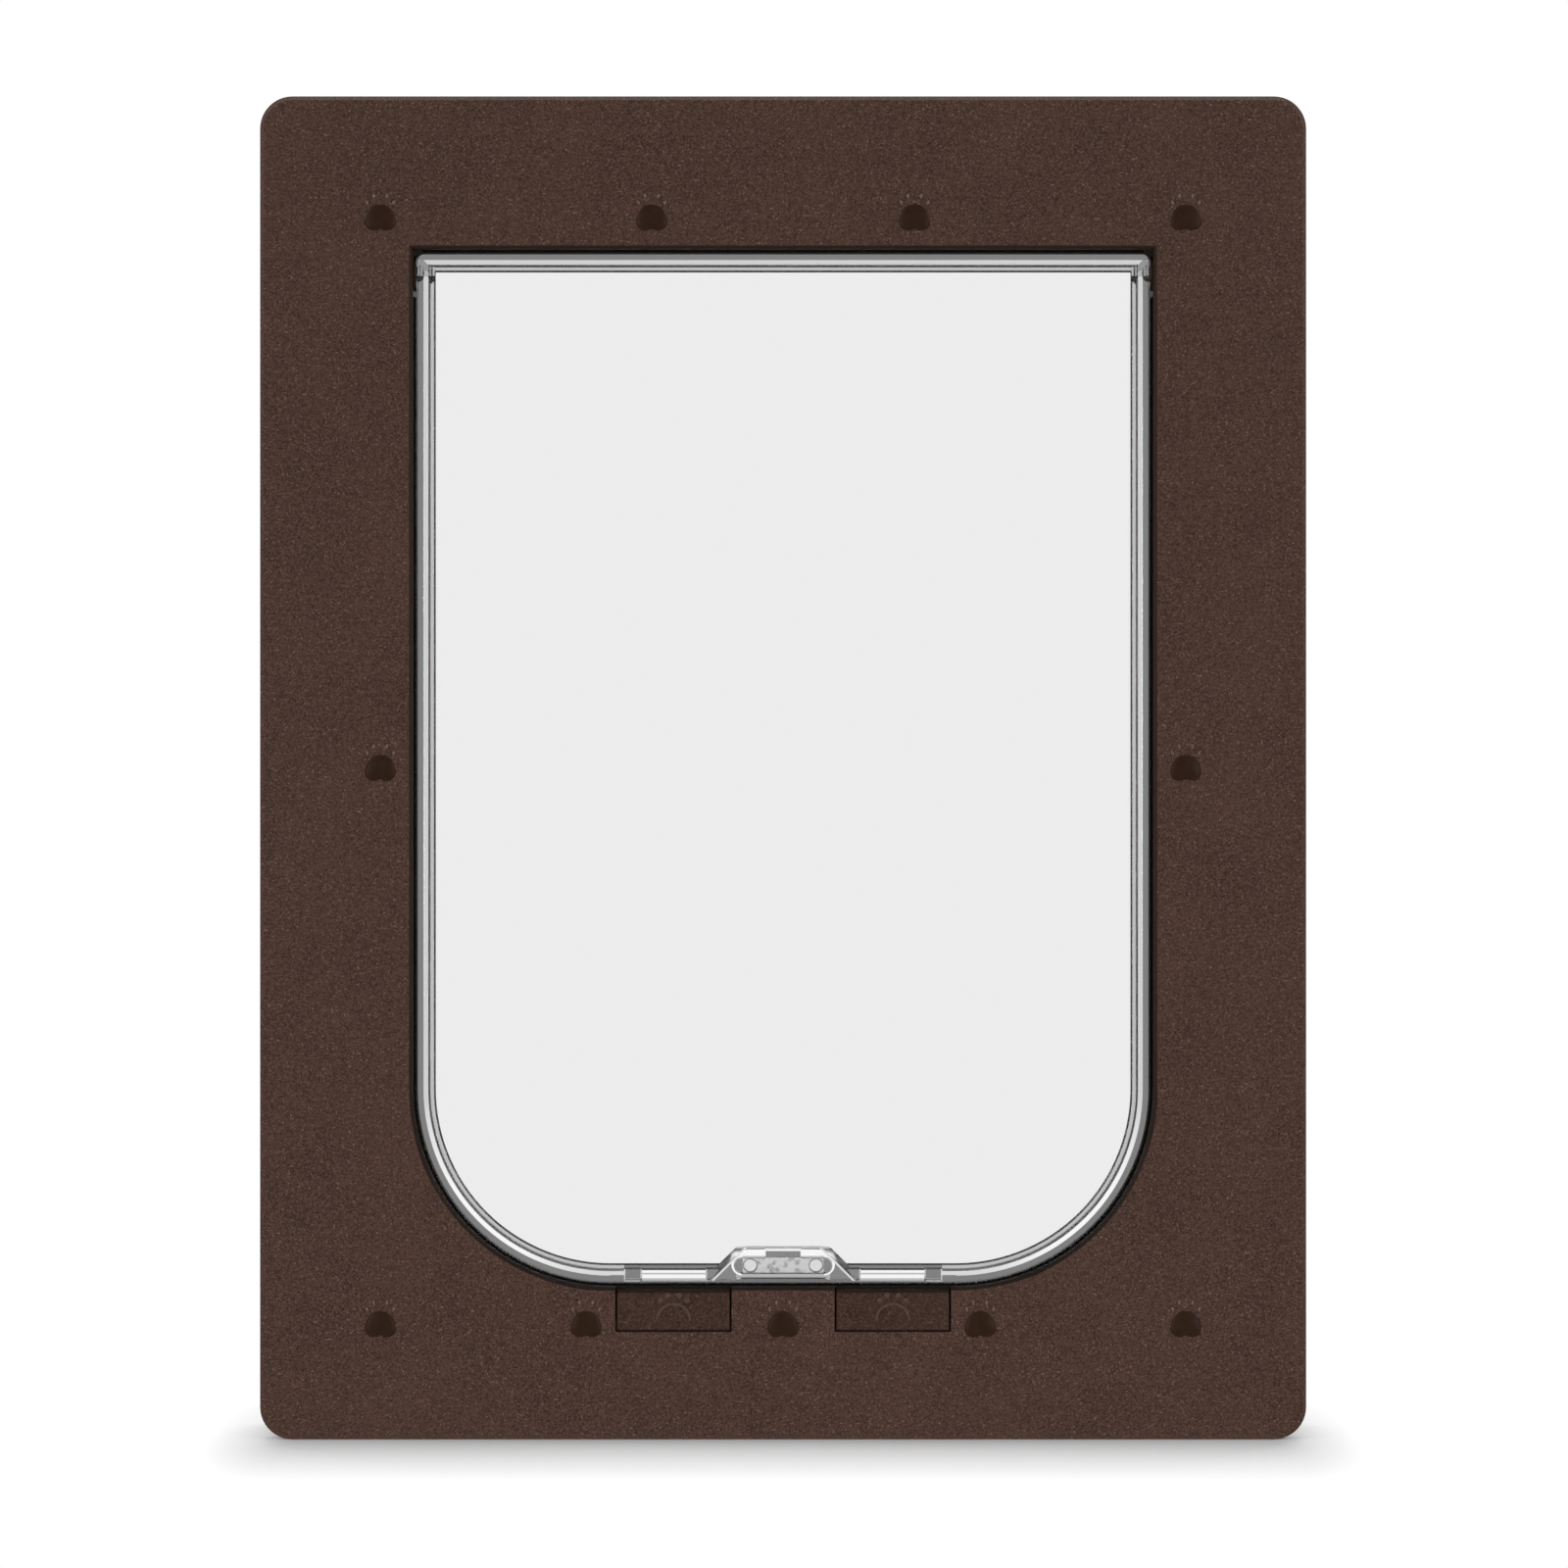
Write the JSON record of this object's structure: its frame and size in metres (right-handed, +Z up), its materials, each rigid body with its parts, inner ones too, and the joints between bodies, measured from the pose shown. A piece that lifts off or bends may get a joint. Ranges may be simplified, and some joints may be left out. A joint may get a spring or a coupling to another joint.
{
  "type": "pet door",
  "caption": "Door-mounted pet door: brown clamp-on frames with paw-shaped screw caps, a clear two-way swing flap with a magnet closer, and sliding locks in the sill.",
  "frame": {"origin": "middle of the base, on the ground under the middle of the object", "axes": "+X to the right seen from the room, +Y from the room to the outside, +Z up"},
  "size_m": [0.356, 0.0668, 0.457],
  "materials": {
    "frame_plastic": "fine spark texture, brown",
    "cap_plastic": "smooth dark brown",
    "slide_plastic": "smooth satin brown",
    "clear_plastic": "polished",
    "magnet_metal": "nickel plated",
    "screw_steel": "zinc plated",
    "pile": "short black pile"
  },
  "bodies": {
    "frame": {"inner_frame": "frame_plastic", "outer_frame": "frame_plastic", "screw_caps": "cap_plastic", "frame_screws": "screw_steel", "pivot_bush_left": "frame_plastic", "pivot_bush_right": "frame_plastic", "lock_retainer_left": "frame_plastic", "lock_retainer_right": "frame_plastic", "retainer_screws": "screw_steel", "sill_magnet": "magnet_metal", "sill_magnet_tray": "frame_plastic", "seal_lower": "pile", "seal_upper": "pile"},
    "flap": {"flap": "clear_plastic", "magnet_bar": "magnet_metal", "magnet_cover": "clear_plastic"},
    "lock_left": {"lock_slide_left": "slide_plastic"},
    "lock_right": {"lock_slide_right": "slide_plastic"}
  },
  "joints": [
    {"name": "flap_swing", "type": "hinge", "parent": "frame", "child": "flap", "pos_m": [0, -0.02515, 0.397], "axis": [1, 0, 0], "range_deg": [-90, 90]},
    {"name": "lock_left_slide", "type": "slide", "parent": "frame", "child": "lock_left", "axis": [0, 0, 1], "range_m": [0, 0.008]},
    {"name": "lock_right_slide", "type": "slide", "parent": "frame", "child": "lock_right", "axis": [0, 0, 1], "range_m": [0, 0.008]}
  ]
}
